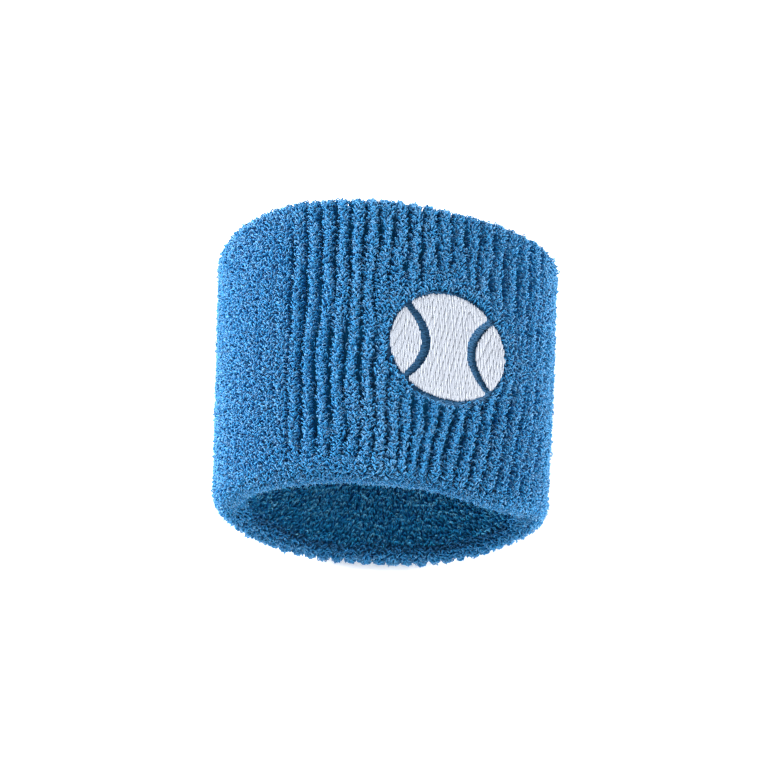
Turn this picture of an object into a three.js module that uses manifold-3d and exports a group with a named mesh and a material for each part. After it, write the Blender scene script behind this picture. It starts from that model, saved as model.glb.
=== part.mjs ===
// Terry sweat wristband, lying on its back with the embroidered face up.
// Millimetres. +Z is up, the band's own axis runs along Y, and the near mouth faces -Y.
// The origin is the middle of the band's footprint on the surface that it lies on.
//
// The band is a knitted terry tube folded double, so its wall is two layers of pile
// fabric with a narrow space between them. The outer layer rolls over both rims; the
// inner layer, worn against the skin, sits between the two rolls and is linked to the
// outer one at the far rim. Elastic yarn runs round in each layer. The emblem is
// stitched through the outer layer only, on a backing patch, before the tube is closed.

import * as THREE from "three";
import { mergeVertices } from "three/addons/utils/BufferGeometryUtils.js";
import Module from "manifold-3d";

// ---------------------------------------------------------------- dimensions
const HALF_WIDTH = 40.15; // outer half width of the oval, mid length
const FLARE = 0.75; // how much wider the far end is than the middle, each side
const LENGTH = 74.0; // rim to rim along the axis
const WALL = 7.2; // both layers and the space between them
const LAYER = 2.7; // one pile layer
const RISE_FAR = 26.7; // top of the oval above its widest level, far rim
const RISE_NEAR = 19.8; // the same at the near rim, where the soft wall sags
const DROP = 24.5; // bottom of the oval below its widest level
const REST_CUT = 0.8; // how far the weight flattens the underside
const SKEW_FAR = 0.2; // the crown leans towards -X
const SKEW_NEAR = 0.11;
const RIM_BOW = 2.4; // the sagging near rim bows out by this much
const SHOULDER = 3.02; // and by this much more on the +X shoulder, where the wall bulges
const PINCH = 0.045; // the lower corners of the near mouth are drawn in
const FOLD_RIGHT = 0.7; // the inner half of the wall bunches up in the two side folds
const FOLD_LEFT = 0.55;
const FOLD_SPREAD = 0.5; // radians
const FOLD_LIFT = 0.2; // the folds' middles, +X above and -X below the widest level

const EMBLEM_X = 14.0; // middle of the emblem on the upper face
const EMBLEM_Y = -1.5;
const EMBLEM_R = 13.6; // white stitched ball
const GROUND_R = 14.9; // flattening stitches under and around it
const POCKET_R = 15.25; // where the pile is stitched down
const POCKET_FLOOR = 1.75; // height of the stitched-down pile over mid-wall
const SEAM_WAIST = 5.4; // ball seam to the middle, at the waist
const SEAM_BOW = 0.052; // how fast the ball seams curve away
const SEAM_GAP = 2.3; // width of each ball seam

const AROUND = 72; // facets round the oval

// ---------------------------------------------------------------- derived
const R = WALL / 2; // radius of the rolled rims
const YE = LENGTH / 2 - R; // where the rim rolls start, from the middle
const ZC = DROP - REST_CUT; // height of the oval's widest level
const GAP = R - LAYER; // half the space between the layers

// How far the upper half of the near rim stands out past the lower half.
function bow(c, q) {
  return q > 0 ? RIM_BOW * q + (c > 0 ? SHOULDER * c * (2 * c * q) ** 2 : 0) : 0;
}
const SHIFT_Y = (() => {
  let most = 0;
  for (let t = 0; t < Math.PI; t += 1e-3)
    most = Math.max(most, bow(Math.cos(t), Math.sin(t)));
  return most / 2; // puts the origin under the middle of the box
})();

const lerp = (a, b, k) => a + (b - a) * k;
const ease = (k) => k * k * (3 - 2 * k);

// Mid-wall point at angle t round the oval and axial place y.
function midWall(t, y) {
  const s = Math.min(Math.max((YE - y) / (2 * YE), 0), 1); // 0 far rim, 1 near rim
  const a = HALF_WIDTH - R + FLARE * Math.max(-1, Math.min(1, y / YE));
  const rise = lerp(RISE_FAR, RISE_NEAR, 0.5 * s + 0.5 * ease(s)) - R;
  const skew = lerp(SKEW_FAR, SKEW_NEAR, ease(s));
  const c = Math.cos(t);
  const q = Math.sin(t);
  let x = a * c;
  let z = ZC;
  let yy = y;
  if (q > 0) {
    z += rise * q * (1 - skew * c * q);
    yy -= bow(c, q) * s * s;
  } else {
    z += (DROP - R) * q;
    x *= 1 - PINCH * s * (2 * c * q) ** 2;
  }
  return [x, yy, z];
}

// How much thicker the inner half of the wall is at angle t.
function fold(t) {
  const off = (at) => Math.atan2(Math.sin(t - at), Math.cos(t - at)) / FOLD_SPREAD;
  const right = off(FOLD_LIFT);
  const left = off(Math.PI + FOLD_LIFT);
  return 1 + FOLD_RIGHT * Math.exp(-right * right) + FOLD_LEFT * Math.exp(-left * left);
}

// A point n outside mid-wall (negative is inside) and e beyond the axial place y.
function wallPoint(t, y, n, e = 0) {
  if (n < 0) n *= fold(t);
  const h = 1e-3;
  const [x, yy, z] = midWall(t, y);
  const [x0, , z0] = midWall(t - h, y);
  const [x1, , z1] = midWall(t + h, y);
  const dx = x1 - x0;
  const dz = z1 - z0;
  const l = Math.hypot(dx, dz);
  const px = x + (n * dz) / l;
  let pz = z - (n * dx) / l;
  if (Math.sin(t) < 0) pz = Math.max(pz, R - n); // flattened underside
  return new THREE.Vector3(px, yy + e + SHIFT_Y, pz);
}

// ---------------------------------------------------------------- builders
function geometryFrom(points, faces) {
  const g = new THREE.BufferGeometry();
  const pos = new Float32Array(points.length * 3);
  points.forEach((p, i) => pos.set([p.x, p.y, p.z], i * 3));
  g.setAttribute("position", new THREE.BufferAttribute(pos, 3));
  g.setIndex(faces);
  g.computeVertexNormals();
  return g;
}

// A closed profile, given as [y, n, e] steps, taken once round the oval. The profile
// runs so that the faces point outwards.
function sleeve(profile, around = AROUND) {
  const m = profile.length;
  const points = [];
  for (let i = 0; i < around; i++) {
    const t = (2 * Math.PI * i) / around;
    for (const [y, n, e] of profile) points.push(wallPoint(t, y, n, e));
  }
  const faces = [];
  for (let i = 0; i < around; i++) {
    const a = i * m;
    const b = ((i + 1) % around) * m;
    for (let j = 0; j < m; j++) {
      const k = (j + 1) % m;
      faces.push(a + j, b + k, a + k, a + j, b + j, b + k);
    }
  }
  return geometryFrom(points, faces);
}

// Round yarn along closed or open guide points.
class GuideCurve extends THREE.Curve {
  constructor(f) {
    super();
    this.f = f;
  }
  getPoint(u, target = new THREE.Vector3()) {
    return target.copy(this.f(u));
  }
}

function yarn(f, radius, steps, sides) {
  const ring = new THREE.Shape();
  for (let i = 0; i < sides; i++) {
    const a = (2 * Math.PI * i) / sides;
    const [x, y] = [radius * Math.cos(a), radius * Math.sin(a)];
    if (i) ring.lineTo(x, y);
    else ring.moveTo(x, y);
  }
  ring.closePath();
  return new THREE.ExtrudeGeometry(ring, {
    steps,
    bevelEnabled: false,
    extrudePath: new GuideCurve(f),
  });
}

// Arc length round mid-wall from the emblem's middle, turned into an angle.
const T0 = Math.acos(EMBLEM_X / (HALF_WIDTH - R));
const arcs = (() => {
  const list = [];
  const step = 0.002;
  for (const way of [1, -1]) {
    let s = 0;
    let p = new THREE.Vector3(...midWall(T0, EMBLEM_Y));
    for (let k = 0; k < 450; k++) {
      list.push([way * s, T0 - way * step * k]);
      const q = new THREE.Vector3(...midWall(T0 - way * step * (k + 1), EMBLEM_Y));
      s += q.distanceTo(p);
      p = q;
    }
  }
  return list.sort((a, b) => a[0] - b[0]);
})();
function angleAt(s) {
  let lo = 0;
  let hi = arcs.length - 1;
  while (hi - lo > 1) {
    const mid = (lo + hi) >> 1;
    if (arcs[mid][0] < s) lo = mid;
    else hi = mid;
  }
  const [s0, t0] = arcs[lo];
  const [s1, t1] = arcs[hi];
  return s1 > s0 ? lerp(t0, t1, (s - s0) / (s1 - s0)) : t0;
}

// A thin plate on the wall between heights n0 and n1: rows run along the axis, and each
// row spans left(q) to right(q) round the oval.
function plate(q0, q1, left, right, n0, n1, rows = 18, cols = 8) {
  const points = [];
  const at = (k, i, j) => (k * (rows + 1) + i) * (cols + 1) + j;
  for (const n of [n0, n1])
    for (let i = 0; i <= rows; i++) {
      const u = (1 - Math.cos((Math.PI * i) / rows)) / 2;
      const q = lerp(q0, q1, u);
      const [l, r] = [left(q), right(q)];
      for (let j = 0; j <= cols; j++)
        points.push(wallPoint(angleAt(lerp(l, r, j / cols)), EMBLEM_Y + q, n));
    }
  const faces = [];
  const quad = (a, b, c, d) => faces.push(a, b, c, a, c, d);
  for (let i = 0; i < rows; i++)
    for (let j = 0; j < cols; j++) {
      quad(at(1, i, j), at(1, i, j + 1), at(1, i + 1, j + 1), at(1, i + 1, j));
      quad(at(0, i, j), at(0, i + 1, j), at(0, i + 1, j + 1), at(0, i, j + 1));
    }
  for (let i = 0; i < rows; i++) {
    quad(at(0, i, 0), at(1, i, 0), at(1, i + 1, 0), at(0, i + 1, 0));
    quad(at(0, i, cols), at(0, i + 1, cols), at(1, i + 1, cols), at(1, i, cols));
  }
  for (let j = 0; j < cols; j++) {
    quad(at(0, 0, j), at(0, 0, j + 1), at(1, 0, j + 1), at(1, 0, j));
    quad(at(0, rows, j), at(1, rows, j), at(1, rows, j + 1), at(0, rows, j + 1));
  }
  return geometryFrom(points, faces);
}
const chord = (r) => (q) => Math.sqrt(Math.max(r * r - q * q, 0.04));
function disc(r, n0, n1, rows, cols) {
  const c = chord(r);
  const e = r - 0.02;
  return plate(-e, e, (q) => -c(q), c, n0, n1, rows, cols);
}

// ---------------------------------------------------------------- booleans
const wasm = await Module();
wasm.setup();
function solid(geometry) {
  const g = geometry.clone();
  g.deleteAttribute("normal");
  g.deleteAttribute("uv");
  const m = mergeVertices(g, 1e-4);
  return new wasm.Manifold(
    new wasm.Mesh({
      numProp: 3,
      vertProperties: m.attributes.position.array,
      triVerts: new Uint32Array(m.index.array),
    }),
  );
}
function fromSolid(s) {
  const m = s.getMesh();
  const n = m.numProp;
  const pos = new Float32Array(m.numVert * 3);
  for (let i = 0; i < m.numVert; i++)
    pos.set(m.vertProperties.subarray(i * n, i * n + 3), i * 3);
  const g = new THREE.BufferGeometry();
  g.setAttribute("position", new THREE.BufferAttribute(pos, 3));
  g.setIndex([...m.triVerts]);
  g.computeVertexNormals();
  return g;
}

// ---------------------------------------------------------------- outer layer
// Its profile: along the outer face, round the near rim, back over the space between
// the layers, round the far rim.
function outerProfile() {
  const steps = [];
  const spans = 6;
  for (let i = 0; i <= spans; i++) steps.push([lerp(YE, -YE, i / spans), R, 0]);
  const turn = 6;
  for (let i = 1; i <= turn; i++) {
    const a = (Math.PI * i) / turn;
    steps.push([-YE, R * Math.cos(a), -R * Math.sin(a)]);
  }
  steps.push([-YE, -GAP, 0]);
  steps.push([-YE, 0, -GAP]);
  for (let i = 0; i <= spans; i++) steps.push([lerp(-YE, YE, i / spans), GAP, 0]);
  steps.push([YE, 0, GAP]);
  steps.push([YE, -GAP, 0]);
  for (let i = turn; i >= 1; i--) {
    const a = (Math.PI * i) / turn;
    steps.push([YE, R * Math.cos(a), R * Math.sin(a)]);
  }
  return steps;
}
const pocket = disc(POCKET_R, POCKET_FLOOR, R + 3, 16, 12);
const outerGeometry = fromSolid(solid(sleeve(outerProfile())).subtract(solid(pocket)));

// ---------------------------------------------------------------- inner layer
function innerProfile() {
  const end = YE - 0.35;
  const spans = 6;
  const steps = [];
  for (let i = 0; i <= spans; i++) steps.push([lerp(end, -end, i / spans), -GAP, 0]);
  for (let i = 0; i <= spans; i++) steps.push([lerp(-end, end, i / spans), -R, 0]);
  return steps;
}
const innerGeometry = sleeve(innerProfile());

// ---------------------------------------------------------------- hidden yarns
const TURNS = 5;
function elasticGeometry(n, phase) {
  const reach = YE - 5;
  return yarn(
    (u) => {
      const t = 2 * Math.PI * TURNS * u + phase;
      // clear of the layers where the oval bends most
      const m = n < 0 ? n + 0.35 * Math.cos(t) ** 8 : n;
      return wallPoint(t, lerp(-reach, reach, u), m);
    },
    0.12,
    (TURNS * AROUND) / 2,
    5,
  );
}
// The linking stitches at the far rim: one thread that steps from side to side of the join.
const LINKS = 36;
function linkingGeometry() {
  const most = 1 - 1 / (LINKS * 4);
  return yarn(
    (u) => {
      const t = 2 * Math.PI * u * most - Math.PI / 2;
      const y = YE - 1.6 + 0.8 * Math.sin(t * LINKS);
      return wallPoint(t, y, 0.02);
    },
    0.24,
    LINKS * 4,
    5,
  );
}

// ---------------------------------------------------------------- emblem
// A plain ball: three white stitched lobes, with the ball's two seams left open between them.
const seam = (q) => SEAM_WAIST + SEAM_BOW * q * q;
const rim = chord(EMBLEM_R);
const endOf = (() => {
  // where a seam's outer side meets the ball's outline
  let q = 0;
  while (q < EMBLEM_R && seam(q) + SEAM_GAP / 2 + 0.35 < Math.sqrt(EMBLEM_R ** 2 - q * q))
    q += 0.01;
  return q;
})();
const inset = 0.02;
const lobes = {
  emblem_ball_centre: plate(
    -(EMBLEM_R - inset),
    EMBLEM_R - inset,
    (q) => -Math.min(rim(q), seam(q) - SEAM_GAP / 2),
    (q) => Math.min(rim(q), seam(q) - SEAM_GAP / 2),
    2.75,
    3.35,
    20,
    8,
  ),
  emblem_ball_left: plate(
    -endOf,
    endOf,
    (q) => -rim(q),
    (q) => -(seam(q) + SEAM_GAP / 2),
    2.75,
    3.35,
    16,
    4,
  ),
  emblem_ball_right: plate(
    -endOf,
    endOf,
    (q) => seam(q) + SEAM_GAP / 2,
    (q) => rim(q),
    2.75,
    3.35,
    16,
    4,
  ),
};

// ---------------------------------------------------------------- assembly
const cloth = (color, roughness = 0.95) =>
  new THREE.MeshStandardMaterial({ color, roughness, metalness: 0 });
const BLUE = 0x2a74bd;
const group = new THREE.Group();
group.name = "sweat_wristband";
function add(name, geometry, material) {
  const mesh = new THREE.Mesh(geometry, material);
  mesh.name = name;
  group.add(mesh);
}
add("outer_terry_layer", outerGeometry, cloth(BLUE));
add("inner_terry_layer", innerGeometry, cloth(0x1f66ab));
add("elastic_yarn_outer", elasticGeometry(0.62, 0), cloth(0xd9dde2, 0.6));
add("elastic_yarn_inner", elasticGeometry(-0.42, Math.PI), cloth(0xd9dde2, 0.6));
add("closing_seam_thread", linkingGeometry(), cloth(0x2769ad, 0.7));
add("embroidery_backing", disc(GROUND_R + 1.6, 0.15, 0.35, 12, 8), cloth(0xf0f0ec, 0.9));
add("embroidery_bobbin_thread", disc(GROUND_R, -0.15, 0.03, 12, 8), cloth(0xf5f5f5, 0.6));
add("emblem_ground_stitching", disc(GROUND_R, 2.05, 2.45, 14, 10), cloth(0x1c4f86, 0.7));
for (const [name, geometry] of Object.entries(lobes))
  add(name, geometry, cloth(0xe6e8f2, 0.55));

export default group;
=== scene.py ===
"""Terry sweat wristband: the looks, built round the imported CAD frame.

Everything is worked out in millimetres in the CAD frame and written in metres.
"""

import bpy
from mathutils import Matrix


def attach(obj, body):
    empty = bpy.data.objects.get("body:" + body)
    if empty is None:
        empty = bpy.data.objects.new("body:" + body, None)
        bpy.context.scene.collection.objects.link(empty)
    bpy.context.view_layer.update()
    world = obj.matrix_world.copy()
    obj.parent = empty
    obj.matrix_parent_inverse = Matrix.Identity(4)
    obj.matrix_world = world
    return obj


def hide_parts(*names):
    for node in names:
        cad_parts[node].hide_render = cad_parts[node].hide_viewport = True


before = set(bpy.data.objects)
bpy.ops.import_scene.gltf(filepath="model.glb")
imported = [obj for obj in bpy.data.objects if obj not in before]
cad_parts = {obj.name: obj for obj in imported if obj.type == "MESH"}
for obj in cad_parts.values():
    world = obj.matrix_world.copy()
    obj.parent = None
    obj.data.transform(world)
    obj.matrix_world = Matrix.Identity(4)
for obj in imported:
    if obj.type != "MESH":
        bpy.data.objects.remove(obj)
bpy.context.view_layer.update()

import math

import bpy
import numpy as np
from mathutils import Matrix, Vector

MM = 0.001

# ------------------------------------------------------------------ shape, as in the CAD
HALF_WIDTH, FLARE, LENGTH, WALL, LAYER = 40.15, 0.75, 74.0, 7.2, 2.7
RISE_FAR, RISE_NEAR, DROP, REST_CUT = 26.7, 19.8, 24.5, 0.8
SKEW_FAR, SKEW_NEAR, RIM_BOW = 0.20, 0.11, 2.4
SHOULDER, PINCH = 3.02, 0.045
FOLD_RIGHT, FOLD_LEFT, FOLD_SPREAD, FOLD_LIFT = 0.7, 0.55, 0.5, 0.2
EMBLEM_X, EMBLEM_Y, EMBLEM_R, GROUND_R = 14.0, -1.5, 13.6, 14.9
SEAM_WAIST, SEAM_BOW, SEAM_GAP = 5.4, 0.052, 2.3
R = WALL / 2
YE = LENGTH / 2 - R
ZC = DROP - REST_CUT
GAP = R - LAYER

RIBS = 58  # ribs round the outer layer
ROW = 0.59  # course pitch of the outer pile
RIM_ARC = math.pi * R


def ease(k):
    return k * k * (3 - 2 * k)


def step(a, b, x):
    return ease(np.clip((x - a) / (b - a), 0, 1))


def bow(c, q):
    """How far the upper half of the near rim stands out past the lower half."""
    return np.where(q > 0, RIM_BOW * q + np.where(c > 0, SHOULDER * c * (2 * c * q) ** 2, 0.0), 0.0)


_a = np.arange(0, math.pi, 1e-3)
SHIFT_Y = float(bow(np.cos(_a), np.sin(_a)).max() / 2)


def fold(t):
    """How much thicker the inner half of the wall is at angle t."""
    def off(at):
        return np.arctan2(np.sin(t - at), np.cos(t - at)) / FOLD_SPREAD

    return 1 + FOLD_RIGHT * np.exp(-(off(FOLD_LIFT) ** 2)) + FOLD_LEFT * np.exp(-(off(math.pi + FOLD_LIFT) ** 2))


def mid_wall(t, y):
    t, y = np.broadcast_arrays(np.asarray(t, float), np.asarray(y, float))
    s = np.clip((YE - y) / (2 * YE), 0, 1)
    e = ease(s)
    a = HALF_WIDTH - R + FLARE * np.clip(y / YE, -1, 1)
    rise = RISE_FAR + (RISE_NEAR - RISE_FAR) * (0.5 * s + 0.5 * e) - R
    skew = SKEW_FAR + (SKEW_NEAR - SKEW_FAR) * e
    c, q = np.cos(t), np.sin(t)
    up = q > 0
    z = ZC + np.where(up, rise * q * (1 - skew * c * q), (DROP - R) * q)
    x = a * c * np.where(up, 1.0, 1 - PINCH * s * (2 * c * q) ** 2)
    return x, y - bow(c, q) * s * s, z


def wall_frame(t, y):
    """Mid-wall points, outward normals and directions round the oval."""
    h = 1e-3
    x, yy, z = mid_wall(t, y)
    x0, _, z0 = mid_wall(t - h, y)
    x1, _, z1 = mid_wall(t + h, y)
    dx, dz = x1 - x0, z1 - z0
    l = np.hypot(dx, dz)
    zero = np.zeros_like(l)
    return (
        np.stack([x, yy + SHIFT_Y, z], -1),
        np.stack([dz / l, zero, -dx / l], -1),
        np.stack([dx / l, zero, dz / l], -1),
    )


def rolled(t, w):
    """Where the meridian w is: the mid-wall point, the direction out of the wall there, the direction
    round the oval, the direction along the meridian, and the roll angle. |w| <= YE is the outer
    face, and beyond it the rim rolls by up to half a turn to the inner face."""
    t, w = np.broadcast_arrays(np.asarray(t, float), np.asarray(w, float))
    y = np.clip(w, -YE, YE)
    roll = np.clip((np.abs(w) - YE) / R, 0, math.pi)
    way = np.sign(w)
    p, n, a = wall_frame(t, y)
    yhat = np.zeros_like(p)
    yhat[..., 1] = 1.0
    c, s = np.cos(roll)[..., None], (np.sin(roll) * way)[..., None]
    out = c * n + s * yhat
    along = c * yhat - s * n
    return p, out, a, along, roll


def on_wall(t, w, r):
    """A point r from mid-wall on the rolled wall, with the underside flattened."""
    t, w = np.broadcast_arrays(np.asarray(t, float), np.asarray(w, float))
    roll = np.clip((np.abs(w) - YE) / R, 0, math.pi)
    r = np.broadcast_to(r, roll.shape)
    return wall_point(t, np.clip(w, -YE, YE), r * np.cos(roll), r * np.sin(roll) * np.sign(w))


def wall_point(t, y, n, e=0.0):
    """A point n outside mid-wall (negative is inside) and e beyond the place y, as in the CAD."""
    t, y = np.broadcast_arrays(np.asarray(t, float), np.asarray(y, float))
    n = np.broadcast_to(n, t.shape)
    n = np.where(n < 0, n * fold(t), n)
    p, nn, _ = wall_frame(t, y)
    q = p + nn * n[..., None]
    q[..., 1] += e
    q[..., 2] = np.where(np.sin(t) < 0, np.maximum(q[..., 2], R - n), q[..., 2])
    return q


# angle for an even share of the way round, at mid length
_t = np.linspace(0, 2 * np.pi, 4001)
_p = on_wall(_t, 0.0, R)
_s = np.concatenate([[0], np.cumsum(np.linalg.norm(np.diff(_p, axis=0), axis=1))])
GIRTH = float(_s[-1])


def angle_of(share):
    share = np.asarray(share, float)
    turns = np.floor(share)
    return np.interp((share - turns) * GIRTH, _s, _t) + 2 * np.pi * turns


def share_of(t):
    t = np.asarray(t, float)
    turns = np.floor(t / (2 * np.pi))
    return np.interp(t - turns * 2 * np.pi, _t, _s) / GIRTH + turns


# emblem coordinates: p runs round the wall from the emblem's middle, q along the band
_T0 = math.acos(EMBLEM_X / (HALF_WIDTH - R))
_ta = _T0 - np.linspace(-0.9, 0.9, 3001)
_pa = np.stack(mid_wall(_ta, EMBLEM_Y), -1)
_sa = np.concatenate([[0], np.cumsum(np.linalg.norm(np.diff(_pa, axis=0), axis=1))])
_sa -= np.interp(0.0, np.linspace(-0.9, 0.9, 3001), _sa)


def emblem_angle(p):
    return np.interp(p, _sa, _ta)


def emblem_p(t):
    return np.interp(-(np.asarray(t)), -_ta, _sa, left=-99, right=99)


# ------------------------------------------------------------------ seeded smooth noise
class Waves:
    """A smooth random field of one or two variables, made of seeded sines."""

    def __init__(self, seed, fx, fy, count=9):
        g = np.random.default_rng(seed)
        self.kx = g.normal(0, fx, count)
        self.ky = g.normal(0, fy, count)
        self.ph = g.uniform(0, 2 * np.pi, count)
        self.am = 1.4 / math.sqrt(count)

    def __call__(self, x, y=0.0):
        out = 0.0
        for a, b, c in zip(self.kx, self.ky, self.ph):
            out = out + np.sin(a * x + b * y + c)
        return out * self.am


wander = Waves(3, 0.35, 0.22, 12)
openness = Waves(5, 1.9, 0.5, 14)
swell = Waves(8, 0.6, 0.09, 10)
ragged = Waves(13, 2.1, 2.3, 18)


def lean_of(t, w):
    """How far the ribs lean over on the bulging shoulder near the near rim, in mm round the band."""
    t = np.mod(t, 2 * np.pi)
    c, q = np.cos(t), np.sin(t)
    return 4.8 * step(6, -46, w) ** 1.4 * step(-0.10, 0.5, c) * step(-0.75, 0.5, q)


def rib_shift(t, w, rib):
    """How far a rib has wandered round the band, in mm."""
    return 0.40 * wander(rib, w) * step(-YE - 1, -YE + 8, w) + lean_of(t, w)


def emblem_distance(t, w):
    p = emblem_p(np.mod(t, 2 * np.pi)) * 1.06
    q = w - EMBLEM_Y
    return np.hypot(p, q), p, q


def rib_open(t, w, rib):
    """How far the grooves between ribs stand open, 0 to 1."""
    t, w = np.broadcast_arrays(t, w)
    t = np.mod(t, 2 * np.pi)
    x = (HALF_WIDTH - R) * np.cos(t)
    top = np.sin(t) > 0
    face = step(-25, -18, x) * (1 - 0.28 * step(20, 28, x) - 0.35 * step(30, 37, x))
    under = 0.75
    o = np.where(top, face, under)
    side = np.exp(-(np.sin(t) / 0.28) ** 2)  # the folds at the sides
    o = o * (1 - 0.75 * side)
    near = np.where(top, step(-YE - 1.0, -YE + 6.0, w + 5.0 * step(0, 12, x)), step(-YE - 8.0, -YE - 5.0, w))
    o = o * near * (1 - 0.45 * step(YE - 6.0, YE + 1.0, w)) * (1 - 0.6 * step(YE + 3.5, YE + 8.0, w))
    d, p, q = emblem_distance(t, w)
    above = step(15.0, 24.5, d)
    below = step(14.2, 16.0, d)
    k = step(-6, 6, q)
    o = o * (above * k + below * (1 - k))
    shoulder = 0.22 * np.where(top, step(-6.0, -16.0, w) * step(0.0, 12.0, x) * step(29.0, 19.0, x), 0.0)
    o = o * np.clip(0.90 + shoulder + 0.42 * openness(rib * 1.0, w), 0.15, 1.15)
    return np.clip(o, 0, 1.1)


# ------------------------------------------------------------------ mesh helpers
def new_mesh(name, verts, polys, materials, uv=None, tone=None, smooth=True, mat_index=None):
    """verts in mm, polys a list of int arrays (n, k), uv a list of arrays (n, k, 2)."""
    me = bpy.data.meshes.new(name)
    me.vertices.add(len(verts))
    me.vertices.foreach_set("co", (np.asarray(verts, np.float64) * MM).astype(np.float32).ravel())
    sizes = np.concatenate([np.full(len(p), p.shape[1], np.int32) for p in polys])
    flat = np.concatenate([p.ravel() for p in polys]).astype(np.int32)
    me.loops.add(len(flat))
    me.loops.foreach_set("vertex_index", flat)
    me.polygons.add(len(sizes))
    starts = np.concatenate([[0], np.cumsum(sizes)[:-1]]).astype(np.int32)
    me.polygons.foreach_set("loop_start", starts)
    if smooth:
        me.polygons.foreach_set("use_smooth", np.ones(len(sizes), bool))
    if mat_index is not None:
        me.polygons.foreach_set("material_index", np.asarray(mat_index, np.int32))
    if uv is not None:
        layer = me.uv_layers.new(name="OFBake")
        layer.uv.foreach_set("vector", np.concatenate([u.reshape(-1, 2) for u in uv]).astype(np.float32).ravel())
    if tone is not None:
        at = me.attributes.new("tone", "FLOAT", "POINT")
        at.data.foreach_set("value", np.asarray(tone, np.float32))
    me.update(calc_edges=True)
    me.validate()
    for m in materials:
        me.materials.append(m)
    ob = bpy.data.objects.new(name, me)
    bpy.context.scene.collection.objects.link(ob)
    return ob


def grid_faces(rows, cols, close_rows=False, close_cols=False):
    """Quads of a grid of rows x cols points, and their uv corners."""
    i = np.arange(rows if close_rows else rows - 1)
    j = np.arange(cols if close_cols else cols - 1)
    i, j = [a.ravel() for a in np.meshgrid(i, j, indexing="ij")]
    i1, j1 = (i + 1) % rows, (j + 1) % cols
    f = np.stack([i * cols + j, i * cols + j1, i1 * cols + j1, i1 * cols + j], 1)
    nr = rows if close_rows else rows - 1
    nc = cols if close_cols else cols - 1
    uv = np.stack(
        [
            np.stack([i / nr, j / nc], 1),
            np.stack([i / nr, (j + 1) / nc], 1),
            np.stack([(i + 1) / nr, (j + 1) / nc], 1),
            np.stack([(i + 1) / nr, j / nc], 1),
        ],
        1,
    )
    return f, uv


def tubes(name, paths, side, up, material, sides=6, tone=None, closed=True, replaces=(), cell_pad=0.06):
    """Many short yarns in one mesh. paths is (N, K, 3) in mm; side and up are (N, K, 3) half axes
    of the yarn's section at each point."""
    n, k, _ = paths.shape
    a = 2 * np.pi * np.arange(sides) / sides
    ca, sa = np.cos(a), np.sin(a)
    v = paths[:, :, None] + ca[None, None, :, None] * side[:, :, None] + sa[None, None, :, None] * up[:, :, None]
    v = v.reshape(n, k * sides, 3)
    seg, sd = [x.ravel() for x in np.meshgrid(np.arange(k - 1), np.arange(sides), indexing="ij")]
    s1 = (sd + 1) % sides
    quad = np.stack([seg * sides + sd, seg * sides + s1, (seg + 1) * sides + s1, (seg + 1) * sides + sd], 1)
    base = (np.arange(n) * k * sides)[:, None, None]
    quads = (quad[None] + base).reshape(-1, 4)
    lo = (np.arange(sides)[::-1][None] + base[:, 0]).reshape(-1, sides)
    hi = (np.arange(sides)[None] + (k - 1) * sides + base[:, 0]).reshape(-1, sides)
    # each yarn has a cell of its own on the map
    across = int(math.ceil(math.sqrt(n)))
    cx, cy = (np.arange(n) % across) / across, (np.arange(n) // across) / across
    pad = cell_pad / across
    size = 1 / across - 2 * pad
    body = 0.86
    qu = np.stack([sd, sd + 1, sd + 1, sd], 1) / sides
    qv = np.stack([seg, seg, seg + 1, seg + 1], 1) / (k - 1) * body
    uvq = np.stack([qu, qv], -1)[None] * size + np.stack([cx + pad, cy + pad], -1)[:, None, None]
    cap = np.stack([0.5 + 0.42 * ca, 0.5 + 0.42 * sa], -1) * (1 - body) * 0.9
    off_lo, off_hi = np.array([0.1, body + 0.01]), np.array([0.6, body + 0.01])
    uvl = (cap[::-1][None] + off_lo) * size + np.stack([cx + pad, cy + pad], -1)[:, None]
    uvh = (cap[None] + off_hi) * size + np.stack([cx + pad, cy + pad], -1)[:, None]
    if tone is not None:
        tone = np.repeat(tone, k * sides)
    return new_mesh(
        name,
        v.reshape(-1, 3),
        [quads, lo, hi],
        [material],
        uv=[uvq.reshape(-1, 4, 2), uvl, uvh],
        tone=tone,
    )


# ------------------------------------------------------------------ materials
def nodes_of(mat):
    mat.use_nodes = True
    nt = mat.node_tree
    p = next(n for n in nt.nodes if n.type == "BSDF_PRINCIPLED")
    return nt, p


def ramp(nt, stops):
    r = nt.nodes.new("ShaderNodeValToRGB")
    el = r.color_ramp.elements
    while len(el) < len(stops):
        el.new(0.5)
    for e, (pos, col) in zip(el, stops):
        e.position = pos
        e.color = (*col, 1)
    return r


def noise(nt, scale, detail=3.0, rough=0.6, coord="Object"):
    tc = nt.nodes.new("ShaderNodeTexCoord")
    n = nt.nodes.new("ShaderNodeTexNoise")
    n.inputs["Scale"].default_value = scale
    n.inputs["Detail"].default_value = detail
    n.inputs["Roughness"].default_value = rough
    nt.links.new(tc.outputs[coord], n.inputs["Vector"])
    return n


def math_node(nt, op, a, b, clamp=False):
    m = nt.nodes.new("ShaderNodeMath")
    m.operation = op
    m.use_clamp = clamp
    for i, v in enumerate((a, b)):
        if isinstance(v, (int, float)):
            m.inputs[i].default_value = v
        else:
            nt.links.new(v, m.inputs[i])
    return m.outputs[0]


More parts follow.
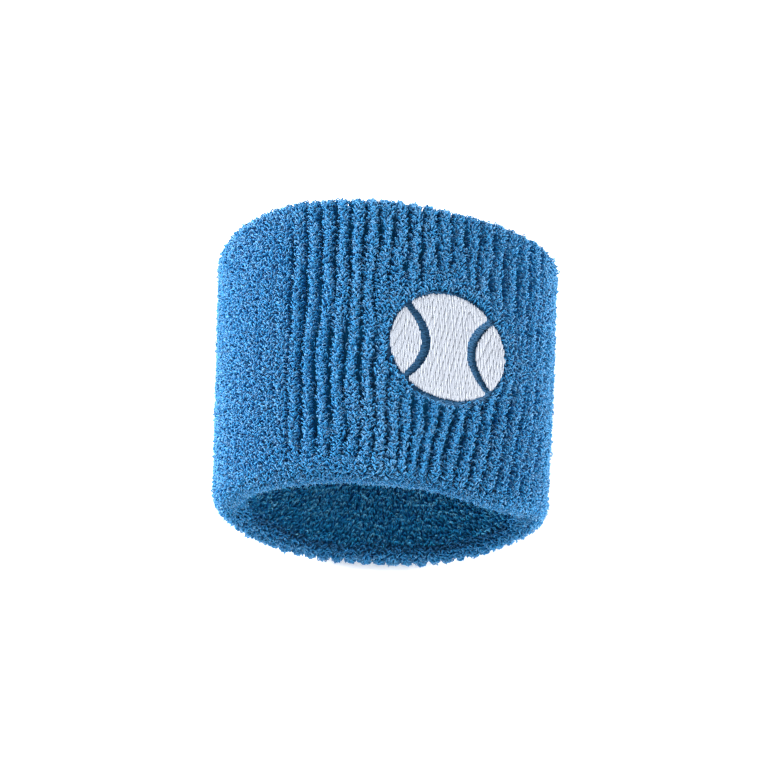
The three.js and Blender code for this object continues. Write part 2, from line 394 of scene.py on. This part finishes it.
def yarn_material(name, dark, mid, light, tone_share=0.6, fibre=5200.0, patch=260.0, rough=0.5, sheen=0.14,
                  sheen_tint=(0.8, 0.88, 1.0), sheen_rough=0.4, bump=0.25, bump_mm=0.05, use_tone=True, specular=0.32, rim_shadow_colour=None):
    """Spun yarn: a colour that varies from loop to loop, along the fibres and in soft patches."""
    mat = bpy.data.materials.new(name)
    nt, p = nodes_of(mat)
    fine = noise(nt, fibre, 2.0, 0.65)
    soft = noise(nt, patch, 2.0, 0.5)
    if use_tone:
        at = nt.nodes.new("ShaderNodeAttribute")
        at.attribute_name = "tone"
        base = math_node(nt, "MULTIPLY", at.outputs["Fac"], tone_share)
    else:
        base = math_node(nt, "MULTIPLY", soft.outputs["Fac"], tone_share)
    f = math_node(nt, "MULTIPLY", fine.outputs["Fac"], (1 - tone_share) * 0.7)
    s = math_node(nt, "MULTIPLY", soft.outputs["Fac"], (1 - tone_share) * 0.5)
    v = math_node(nt, "ADD", math_node(nt, "ADD", base, f), s, clamp=True)
    stops = [(0.0, dark), (0.5, mid), (1.0, light)]
    if rim_shadow_colour:  # painted shade: a darkest colour for loops that stand in the top wall's shadow at the near opening
        stops = [(0.0, rim_shadow_colour), (0.13, tuple(0.74 * a + 0.26 * b for a, b in zip(dark, mid)))] + stops[1:]
    r = ramp(nt, stops)
    nt.links.new(v, r.inputs[0])
    nt.links.new(r.outputs[0], p.inputs["Base Color"])
    p.inputs["Roughness"].default_value = rough
    p.inputs["Specular IOR Level"].default_value = specular
    p.inputs["Sheen Weight"].default_value = sheen
    p.inputs["Sheen Roughness"].default_value = sheen_rough
    p.inputs["Sheen Tint"].default_value = (*sheen_tint, 1)
    if bump:
        b = nt.nodes.new("ShaderNodeBump")
        b.inputs["Strength"].default_value = bump
        b.inputs["Distance"].default_value = bump_mm * MM
        nt.links.new(fine.outputs["Fac"], b.inputs["Height"])
        nt.links.new(b.outputs[0], p.inputs["Normal"])
    return mat


# The light ends of the pile colours are paler and whiter than the dye: partly real loop-to-loop tone, partly painted
# glints on randomly chosen loops.
PILE = yarn_material("terry_pile_blue", (0.0004, 0.134, 0.348), (0.007, 0.188, 0.422), (0.090, 0.262, 0.472), tone_share=0.78,
                     sheen=0.11, rim_shadow_colour=(0.0003, 0.050, 0.132))
# painted light: the inside pile is the same yarn as the outside pile, given a much brighter colour to stand for the
# light that reaches the inside
PILE_IN = yarn_material("terry_pile_blue_inside_painted_light", (0.0004, 0.130, 0.350), (0.014, 0.370, 0.720), (0.210, 0.680, 0.970),
                        tone_share=0.8, sheen=0.06)
# painted shade: the ground knit's dark end is given to the open grooves between ribs, in outer_cloth
KNIT = yarn_material("terry_ground_knit", (0.0002, 0.072, 0.168), (0.002, 0.120, 0.270), (0.010, 0.170, 0.380),
                     tone_share=0.92, patch=900.0, sheen=0.0, specular=0.12)
FILL = yarn_material("emblem_fill_thread_blue", (0.003, 0.050, 0.130), (0.007, 0.082, 0.195), (0.020, 0.128, 0.285),
                     tone_share=0.5, rough=0.55, sheen=0.15, bump=0.2, bump_mm=0.02, specular=0.4)
SATIN = yarn_material("emblem_satin_thread_white", (0.308, 0.343, 0.410), (0.380, 0.425, 0.500), (0.452, 0.498, 0.570),
                      tone_share=0.45, fibre=7000.0, patch=500.0, rough=0.42, sheen=0.2, sheen_tint=(1.0, 1.0, 1.0),
                      bump=0.2, bump_mm=0.02, specular=0.45)

# The fibre ends' light end is paler and whiter than the dye: partly real random tone, partly painted glints.
FUZZ = yarn_material("terry_fibre_ends", (0.015, 0.160, 0.370), (0.055, 0.250, 0.500), (0.200, 0.430, 0.700), tone_share=0.8,
                     sheen=0.2, bump=0)

# ------------------------------------------------------------------ pile
def loop_templates(seed, count, points=7):
    """Arch-shaped loops of yarn in local mm: x across the loop, y its depth, z its height (0 to 1)."""
    g = np.random.default_rng(seed)
    k = np.linspace(0, 1, points)
    ang = np.radians(-28 + 236 * k)
    out = []
    for _ in range(count):
        x = -np.cos(ang) * (1 + 0.08 * g.normal(size=points))
        z = np.where(np.sin(ang) > 0, 0.42 + 0.58 * np.sin(ang), 0.42 + 1.35 * np.sin(ang))
        z = z + 0.05 * g.normal(size=points)
        y = (k - 0.5) * g.uniform(-0.5, 0.5) + 0.08 * g.normal(size=points)
        z[0] = z[-1] = -0.35
        out.append(np.stack([x, y, z], 1))
    return np.array(out)


TEMPLATES = loop_templates(11, 48)
SIDES = 4


def pile(name, seed, origin, ex, ey, ez, half, height, spin, lean_x, lean_y, radius, tone, material):
    g = np.random.default_rng(seed)
    n = len(origin)
    loc = TEMPLATES[g.integers(0, len(TEMPLATES), n)].copy()
    x = loc[..., 0] * half[:, None]
    y = loc[..., 1] * half[:, None]
    z = loc[..., 2] * height[:, None]
    c, s = np.cos(spin)[:, None], np.sin(spin)[:, None]
    x, y = x * c - y * s, x * s + y * c
    lift = np.maximum(z, 0)
    x = x + lift * lean_x[:, None]
    y = y + lift * lean_y[:, None]
    path = origin[:, None] + x[..., None] * ex[:, None] + y[..., None] * ey[:, None] + z[..., None] * ez[:, None]
    d = np.gradient(path, axis=1)
    d /= np.linalg.norm(d, axis=-1, keepdims=True)
    # a frame for the yarn that doesn't flip over the top of the loop
    ref = (-np.sin(spin)[:, None] * ex + np.cos(spin)[:, None] * ey)[:, None]
    side = ref - d * (ref * d).sum(-1, keepdims=True)
    side /= np.linalg.norm(side, axis=-1, keepdims=True)
    up = np.cross(d, side)
    rr = radius[:, None, None] * np.array([0.8, 1.0, 1.05, 1.08, 1.05, 1.0, 0.8])[None, :, None]
    path[..., 2] = np.maximum(path[..., 2], 0.20)
    ob = tubes(name, path, side * rr, up * rr, material, sides=SIDES, tone=tone)
    return ob


def outer_loops():
    """Every loop of the outer layer: where it stands and how it leans."""
    g = np.random.default_rng(21)
    total = 2 * (YE + RIM_ARC) - 2.0
    rows = int(total / ROW)
    rib, col, row = [a.ravel() for a in np.meshgrid(np.arange(RIBS), np.arange(-2, 3), np.arange(rows), indexing="ij")]
    edge = np.abs(col) / 2.0
    w = -total / 2 + (row + 0.5 + 0.5 * (col % 2)) * ROW + g.normal(0, 0.11, row.size)
    share0 = (rib + 0.5) / RIBS
    t0 = angle_of(share0)
    o = rib_open(t0, w, rib)
    pitch = GIRTH / RIBS
    # where neighbouring ribs lean apart, each spreads to fill the room
    apart = lean_of(angle_of(share0 + 1 / RIBS), w) - lean_of(angle_of(share0 - 1 / RIBS), w)
    spread = np.clip(1 + apart / (2 * pitch), 0.7, 1.6)
    off = col * (pitch / 5 * (1 - o) + 0.455 * o) * spread + g.normal(0, 0.13, row.size)
    off = off + o * 0.15 * ragged(rib * 2.0 + np.sign(col), w)
    off = off + np.sign(col) * o * (np.abs(col) == 2) * (g.random(row.size) < 0.07) * g.uniform(0.1, 0.6, row.size)
    share = share0 + (off + rib_shift(t0, w, rib)) / GIRTH
    t = angle_of(share)
    keep = emblem_distance(t, w)[0] > GROUND_R - 0.15
    rib, col, row, w, t, o, edge = [a[keep] for a in (rib, col, row, w, t, o, edge)]
    n = len(t)
    d, p, q = emblem_distance(t, w)
    p0, out, ex, ey, roll = rolled(t, w)
    near_edge = 1 - step(GROUND_R, GROUND_R + 1.6, d)
    base = 1.85 + 0.05 * g.normal(size=n) - 0.45 * o * edge**2
    origin = on_wall(t, w, base)
    crown = swell(rib * 1.0, w) * 0.10
    height = 1.62 + crown + 0.20 * g.normal(size=n) - 0.35 * o * edge**2 - 0.25 * near_edge
    half = 0.44 + 0.06 * g.normal(size=n)
    # loops either side of a rib's middle stand askew in a V along the rib
    way = np.where(col == 0, g.choice([-1.0, 1.0], n), np.sign(col))
    spin = way * g.normal(0.74, 0.36, n)
    lean_x = 0.13 * g.normal(size=n)
    lean_y = 0.26 * g.normal(size=n) - 0.08
    radius = 0.138 + 0.014 * g.normal(size=n)
    tone = np.clip(0.47 + 0.29 * g.normal(size=n) + 0.08 * swell(rib * 1.0, w), 0, 1)
    # painted shade: loops far round the near roll on the bottom wall take the darkest colours, standing for the shadow
    # of the top wall's near rim
    rim_shadowed = step(-YE - 0.64 * RIM_ARC, -YE - 0.78 * RIM_ARC, w) * step(-0.1, -0.45, np.sin(t))
    tone = tone * (1 - rim_shadowed) + (-0.14 + 0.12 * g.random(n)) * rim_shadowed
    return dict(rib=rib, origin=origin, ex=ex, ey=ey, ez=out, half=half, height=height, spin=spin,
                lean_x=lean_x, lean_y=lean_y, radius=radius, tone=tone)


def inner_loops():
    g = np.random.default_rng(33)
    ribs, row_pitch = 58, 0.61
    span = 2 * YE + 1.6
    rows = int(span / row_pitch)
    rib, col, row = [a.ravel() for a in np.meshgrid(np.arange(ribs), np.array([-1.5, -0.5, 0.5, 1.5]), np.arange(rows), indexing="ij")]
    y = -span / 2 + (row + 0.25 + 0.5 * (np.mod(col, 2) == 0.5)) * row_pitch + g.normal(0, 0.12, row.size)
    y = np.clip(y, -span / 2, span / 2)
    share = (rib + 0.5) / ribs + (col * 0.25 / ribs) + g.normal(0, 0.11, row.size) / 160.0
    t = angle_of(share)
    n = len(t)
    p, nn, ex = wall_frame(t, y)
    thick = fold(t)
    base = -(1.85 + 0.05 * g.normal(size=n)) / np.sqrt(thick)
    origin = wall_point(t, y, base)
    ey = np.zeros_like(ex)
    ey[:, 1] = 1
    height = 1.48 + 0.15 * g.normal(size=n)
    half = 0.31 + 0.05 * g.normal(size=n)
    spin = g.uniform(-1.5, 1.5, n)
    # painted shade: inner loops on the bottom wall by the near opening, and those deeper in towards the far end, are
    # darker, standing for shade inside the band
    inner_rim_shade = 0.22 * step(-YE + 7.0, -YE, y) * step(-0.1, -0.45, np.sin(t))
    far = step(-6.0, 12.0, y)
    return dict(rib=rib, origin=origin, ex=ex, ey=-ey, ez=-nn, half=half, height=height, spin=spin,
                lean_x=0.18 * g.normal(size=n), lean_y=0.2 * g.normal(size=n),
                radius=0.118 + 0.010 * g.normal(size=n), tone=np.clip(0.46 - inner_rim_shade - 0.36 * far + (0.36 - 0.20 * far) * g.normal(size=n), 0, 1))


def pile_pieces(prefix, loops, sectors, material, seed):
    rib = loops.pop("rib")
    edges = np.linspace(0, rib.max() + 1, sectors + 1).round().astype(int)
    made = []
    for i in range(sectors):
        m = (rib >= edges[i]) & (rib < edges[i + 1])
        made.append(pile(f"{prefix}_{i + 1:02d}", seed + i, material=material, **{k: v[m] for k, v in loops.items()}))
    return made


# ------------------------------------------------------------------ the two knit layers
def outer_cloth():
    """The outer layer's ground knit: one closed shell that rolls over both rims."""
    around = RIBS * 7
    share = np.arange(around) / around
    t = angle_of(share)
    skin = np.concatenate([
        np.linspace(-(YE + RIM_ARC), -YE, 12, endpoint=False),
        np.linspace(-YE, YE, 90),
        np.linspace(YE, YE + RIM_ARC, 13)[1:],
    ])
    ww, tt = np.meshgrid(skin, t, indexing="ij")
    rib = np.floor(share * RIBS)[None] + 0 * ww
    o = rib_open(tt, ww, rib)
    phase = (share[None] * RIBS - rib_shift(tt, ww, rib) / (GIRTH / RIBS)) % 1.0
    groove = np.clip(np.cos(2 * np.pi * phase), 0, 1) ** 1.2  # 1 in the groove between ribs
    d = emblem_distance(tt, ww)[0]
    r = 1.9 - 0.95 * o * groove
    r = r + (1.72 - r) * (1 - step(GROUND_R - 0.3, GROUND_R + 0.9, d))
    verts = [on_wall(tt, ww, r)]
    # painted shade: the ground knit is coloured towards its dark end in the open grooves between ribs, standing for
    # the shade in them
    tone = 1 - 0.95 * np.clip(1.5 * o * groove, 0, 1)
    back = np.linspace(YE, -YE, 40)
    yy, tb = np.meshgrid(back, t, indexing="ij")
    q = wall_point(tb, yy, GAP)

    # inside the rolls
    def fold_in(way):
        yy = np.full((1, around), way * YE)
        return wall_point(t[None], yy, 0.0, way * GAP), wall_point(t[None], yy, -GAP)

    far_mid, far_low = fold_in(1)
    near_mid, near_low = fold_in(-1)
    grid = np.concatenate([verts[0], far_low, far_mid, q, near_mid, near_low], 0)
    rows = grid.shape[0]
    tone = np.concatenate([tone.ravel(), np.ones(grid.shape[0] * around - tone.size)])
    f, uv = grid_faces(rows, around, close_rows=True, close_cols=True)
    return new_mesh("outer_terry_cloth", grid.reshape(-1, 3), [f[:, ::-1]], [KNIT], uv=[uv[:, ::-1]], tone=tone)


def inner_cloth():
    around = 300
    share = np.arange(around) / around
    t = angle_of(share)
    end = YE - 0.35
    a = np.linspace(end, -end, 60)
    b = a[::-1]
    grids = []
    for ys, n0 in ((a, -GAP), (b, -1.9)):
        yy, tt = np.meshgrid(ys, t, indexing="ij")
        grids.append(wall_point(tt, yy, n0 / np.sqrt(fold(tt)) if n0 < -1 else n0))
    grid = np.concatenate(grids, 0)
    f, uv = grid_faces(grid.shape[0], around, close_rows=True, close_cols=True)
    return new_mesh("inner_terry_cloth", grid.reshape(-1, 3), [f], [KNIT], uv=[uv], tone=np.full(grid.size // 3, 0.9))


def fuzz(name, seed, count, sides_of, material, reach, low=2.7, high=3.5):
    """Loose fibre ends standing out of the pile."""
    g = np.random.default_rng(seed)
    t, w = sides_of(g, count)
    rib = np.floor(share_of(t) * RIBS)
    place = (share_of(t) * RIBS - rib_shift(t, w, rib) / (GIRTH / RIBS)) % 1.0
    open_here = rib_open(t, w, rib) * np.clip(np.cos(2 * np.pi * place), 0, 1)
    keep = (emblem_distance(t, w)[0] > GROUND_R + 0.4) & (open_here < 0.25)
    keep &= ~((w < -YE - 0.5 * RIM_ARC) & (np.sin(t) < -0.2))
    t, w = t[keep], w[keep]
    n = len(t)
    start = on_wall(t, w, g.uniform(low, high, n))
    _, out, ex, ey, _ = rolled(t, w)
    a = g.uniform(0, 2 * np.pi, n)
    tilt = g.uniform(0.25, 1.35, n)
    flat = np.cos(a)[:, None] * ex + np.sin(a)[:, None] * ey
    d0 = np.cos(tilt)[:, None] * out + np.sin(tilt)[:, None] * flat
    a2 = a + g.normal(0, 0.9, n)
    flat2 = np.cos(a2)[:, None] * ex + np.sin(a2)[:, None] * ey
    length = g.uniform(*reach, n)[:, None]
    mid = start + d0 * length * 0.5
    end = mid + (0.35 * d0 + 0.65 * flat2) * length * 0.5
    path = np.stack([start, mid, end], 1)
    path[..., 2] = np.maximum(path[..., 2], 0.06)
    d = np.gradient(path, axis=1)
    d /= np.linalg.norm(d, axis=-1, keepdims=True)
    side = np.cross(d, out[:, None])
    side /= np.maximum(np.linalg.norm(side, axis=-1, keepdims=True), 1e-6)
    up = np.cross(side, d)
    rr = np.array([0.032, 0.026, 0.014])[None, :, None]
    return tubes(name, path, side * rr, up * rr, material, sides=3, tone=g.uniform(0, 1, n))


def over_outside(g, n):
    return angle_of(g.uniform(0, 1, n)), g.uniform(-YE - 0.7 * RIM_ARC, YE + 0.6 * RIM_ARC, n)


def over_inside(g, n):
    return angle_of(g.uniform(0, 1, n)), g.uniform(-YE, YE, n)


outer = outer_cloth()
inner = inner_cloth()
outer_pile = pile_pieces("terry_pile_outer", outer_loops(), 15, PILE, 100)
inner_pile = pile_pieces("terry_pile_inner", inner_loops(), 9, PILE_IN, 200)
outer_pile += [fuzz(f"terry_fuzz_{i + 1}", 300 + i, 11000, over_outside, FUZZ, (0.7, 1.7)) for i in range(3)]
for ob in [outer, inner, *outer_pile, *inner_pile]:
    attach(ob, "root")
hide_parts("outer_terry_layer")
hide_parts("inner_terry_layer")
for ob in outer_pile:
    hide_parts("outer_terry_layer")
for ob in inner_pile:
    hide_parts("inner_terry_layer")


# ------------------------------------------------------------------ emblem
def seam_line(q):
    return SEAM_WAIST + SEAM_BOW * q * q


def emblem_point(p, q, n):
    p, q, n = np.broadcast_arrays(np.asarray(p, float), np.asarray(q, float), np.asarray(n, float))
    t = emblem_angle(p)
    m, nn, ex = wall_frame(t, EMBLEM_Y + q)
    return m + nn * n[..., None], nn, -ex


def stitches(name, rows, along_q, material, n_mid, length, width, thick, seed, hump=0.10, replaces=None, points=7, fray=0.12):
    """Rows of thread. rows is a list of (place, low, high); a row longer than a stitch is split."""
    g = np.random.default_rng(seed)
    start = []
    for k, (c, lo, hi) in enumerate(rows):
        lo = lo + g.normal(0, fray)
        hi = hi + g.normal(0, fray)
        if hi - lo < 0.5:
            continue
        cuts = np.arange(lo - length + (k % 3) * length / 3 + g.normal(0, 0.08), hi, length)
        cuts = cuts[(cuts > lo + 0.6) & (cuts < hi - 0.6)]
        ends = np.concatenate([[lo], cuts, [hi]])
        for a, b in zip(ends[:-1], ends[1:]):
            start.append((c, max(a - 0.12, lo), min(b + 0.12, hi)))
    start = np.array(start)
    c, a, b = start.T
    n = len(c)
    u = np.linspace(0, 1, points)
    s = a[:, None] + (b - a)[:, None] * u
    cc = c[:, None] + 0.03 * g.normal(size=(n, 1)) + 0.05 * g.normal(size=(n, 1)) * (u - 0.5)
    h = n_mid + hump * np.sin(np.pi * u) ** 0.35 - 0.10 + 0.02 * g.normal(size=(n, 1))
    p, q = (cc, s) if along_q else (s, cc)
    pt, nn, ex = emblem_point(p, q, h)
    d = np.gradient(pt, axis=1)
    d /= np.linalg.norm(d, axis=-1, keepdims=True)
    side = np.cross(d, nn)
    side /= np.linalg.norm(side, axis=-1, keepdims=True)
    up = np.cross(side, d)
    taper = np.clip(np.sin(np.pi * np.clip(u, 0.05, 0.95)) ** 0.2, 0.68, 1)[None, :, None]
    tone = np.clip(0.5 + 0.2 * g.normal(size=n), 0, 1)
    ob = tubes(name, pt, side * width / 2 * taper, up * thick / 2 * taper, material, sides=6, tone=tone)
    return ob


def rows_between(lo, hi, pitch, edge_lo, edge_hi):
    out = []
    c = lo + pitch / 2
    while c < hi:
        a, b = edge_lo(c), edge_hi(c)
        if b > a:
            out.append((c, a, b))
        c += pitch
    return out


def chord(r, c):
    return math.sqrt(max(r * r - c * c, 0.0))


ground_rows = rows_between(-GROUND_R, GROUND_R, 0.40, lambda c: -chord(GROUND_R, c), lambda c: chord(GROUND_R, c))
ground = stitches("emblem_fill_stitches", ground_rows, False, FILL, 2.25, 2.7, 0.46, 0.30, 51)


def lobe_rows(pitch, left, right):
    """Rows along the band: for each place round the wall, the reach of the lobe between its edges."""
    qs = np.linspace(-EMBLEM_R, EMBLEM_R, 1201)
    out = []
    c = -EMBLEM_R + pitch / 2
    while c < EMBLEM_R:
        ok = (left(qs) <= c) & (c <= right(qs)) & (np.abs(qs) <= EMBLEM_R - 0.02)
        if ok.any():
            # a lobe may be parted in two along one row
            idx = np.flatnonzero(ok)
            parts = np.split(idx, np.flatnonzero(np.diff(idx) > 1) + 1)
            for s in parts:
                if len(s) > 8:
                    out.append((c, qs[s[0]], qs[s[-1]]))
        c += pitch
    return out


def rimline(q):
    return np.sqrt(np.maximum(EMBLEM_R**2 - q * q, 0))


white = {
    "emblem_ball_centre": lobe_rows(0.36, lambda q: -np.minimum(rimline(q), seam_line(q) - SEAM_GAP / 2),
                                    lambda q: np.minimum(rimline(q), seam_line(q) - SEAM_GAP / 2)),
    "emblem_ball_left": lobe_rows(0.36, lambda q: -rimline(q), lambda q: -(seam_line(q) + SEAM_GAP / 2)),
    "emblem_ball_right": lobe_rows(0.36, lambda q: seam_line(q) + SEAM_GAP / 2, lambda q: rimline(q)),
}
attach(ground, "root")
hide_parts("emblem_ground_stitching")
for i, (node, rows) in enumerate(white.items()):
    ob = stitches(node + "_satin", rows, True, SATIN, 2.95, 4.6, 0.43, 0.40, 60 + i, hump=0.11)
    under = stitches(node + "_underlay", [(c, a + 0.35, b - 0.35) for c, a, b in rows][::1], True, SATIN, 2.66, 6.0, 0.46, 0.34, 70 + i, hump=0.03, points=5)
    for o in (ob, under):
        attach(o, "root")
        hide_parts(node)

# ------------------------------------------------------------------ hidden pieces keep their CAD shape
ELASTIC = yarn_material("covered_elastic", (0.50, 0.52, 0.56), (0.66, 0.68, 0.72), (0.80, 0.81, 0.84), use_tone=False,
                        fibre=3000.0, patch=1500.0, rough=0.6, sheen=0.1, sheen_tint=(1, 1, 1))
THREAD = yarn_material("linking_thread_blue", (0.010, 0.075, 0.235), (0.022, 0.140, 0.370), (0.050, 0.225, 0.520), use_tone=False,
                       fibre=4000.0, patch=1500.0, rough=0.7, sheen=0.15)
BACKING = yarn_material("backing_felt", (0.70, 0.70, 0.66), (0.82, 0.82, 0.79), (0.90, 0.90, 0.88), use_tone=False,
                        fibre=1800.0, patch=700.0, rough=0.9, sheen=0.1, sheen_tint=(1, 1, 1))
BOBBIN = yarn_material("bobbin_thread_white", (0.70, 0.70, 0.70), (0.82, 0.82, 0.82), (0.92, 0.92, 0.92), use_tone=False,
                       fibre=5000.0, patch=2200.0, rough=0.55, sheen=0.1, sheen_tint=(1, 1, 1))


def dress(node, material):
    ob = bpy.data.objects.get(node)
    if ob is None:
        raise SystemExit("no object for " + node)
    if not ob.material_slots:
        ob.data.materials.append(material)
    for s in ob.material_slots:
        s.material = material


dress("elastic_yarn_outer", ELASTIC)
dress("elastic_yarn_inner", ELASTIC)
dress("closing_seam_thread", THREAD)
dress("embroidery_backing", BACKING)
dress("embroidery_bobbin_thread", BOBBIN)

# ------------------------------------------------------------------ stage, light, camera
def stage_floor():
    me = bpy.data.meshes.new("floor")
    s = 3.0
    me.from_pydata([(-s, -s, 0), (s, -s, 0), (s, s, 0), (-s, s, 0)], [], [(0, 1, 2, 3)])
    ob = bpy.data.objects.new("floor", me)
    bpy.context.scene.collection.objects.link(ob)
    mat = bpy.data.materials.new("floor_white")
    nt, p = nodes_of(mat)
    p.inputs["Base Color"].default_value = (0.93, 0.93, 0.93, 1)
    p.inputs["Roughness"].default_value = 0.9
    p.inputs["Specular IOR Level"].default_value = 0.1
    p.inputs["Emission Color"].default_value = (1, 1, 1, 1)
    p.inputs["Emission Strength"].default_value = 0.4
    me.materials.append(mat)


stage_floor()


def area(name, at, size, power, color=(1, 1, 1), size_y=None, aim=(0, 0, 0.024)):
    li = bpy.data.lights.new(name, "AREA")
    li.shape = "RECTANGLE"
    li.size = size
    li.size_y = size_y or size
    li.energy = power
    li.color = color
    ob = bpy.data.objects.new(name, li)
    bpy.context.scene.collection.objects.link(ob)
    d = Vector(aim) - Vector(at)
    ob.matrix_world = Matrix.Translation(at) @ d.to_track_quat("-Z", "Y").to_matrix().to_4x4()
    return ob


area("key_left", (-1.40, 0.30, 0.47), 0.8, 92.0)
area("fill_right", (1.46, 0.12, 0.42), 0.8, 66.0, (1.0, 0.95, 0.91))
area("front_low", (0.03, -1.38, 0.50), 0.7, 12.5)

world = bpy.data.worlds.new("world")
bpy.context.scene.world = world
world.use_nodes = True
bg = world.node_tree.nodes["Background"]
bg.inputs[0].default_value = (1, 1, 1, 1)
path = world.node_tree.nodes.new("ShaderNodeLightPath")
level = world.node_tree.nodes.new("ShaderNodeMath")
level.operation = "MULTIPLY_ADD"  # soft light of 0.35, seen by the camera as pale as the far floor
level.inputs[1].default_value = 0.46
level.inputs[2].default_value = 0.35
world.node_tree.links.new(path.outputs["Is Camera Ray"], level.inputs[0])
world.node_tree.links.new(level.outputs[0], bg.inputs[1])

sc = bpy.context.scene
sc.view_settings.view_transform = "Standard"
sc.view_settings.look = "None"

EL, AZ, ROLL = math.radians(54.0), 0.010, -0.045
SCALE, CX, CY = 4.203, 384.2, 386.0


def make_camera():
    ca, sa = math.cos(AZ), math.sin(AZ)
    r = Vector((ca, -sa, 0))
    up = Vector((sa * math.sin(EL), ca * math.sin(EL), math.cos(EL)))
    cr, sr = math.cos(ROLL), math.sin(ROLL)
    xr = r * cr - up * sr
    yr = r * sr + up * cr
    zr = xr.cross(yr)
    target = Vector((0, SHIFT_Y * MM, ZC * MM)) + xr * ((384 - CX) / SCALE * MM) + yr * ((CY - 384) / SCALE * MM)
    dist = 1.5
    m = Matrix((xr, yr, zr)).transposed().to_4x4()
    cam = bpy.data.cameras.new("camera")
    cam.sensor_width = 36.0
    cam.lens = 36.0 * dist / (768 / SCALE * MM)
    cam.clip_start, cam.clip_end = 0.05, 20.0
    ob = bpy.data.objects.new("camera", cam)
    bpy.context.scene.collection.objects.link(ob)
    ob.matrix_world = Matrix.Translation(target + zr * dist) @ m
    sc.camera = ob


make_camera()
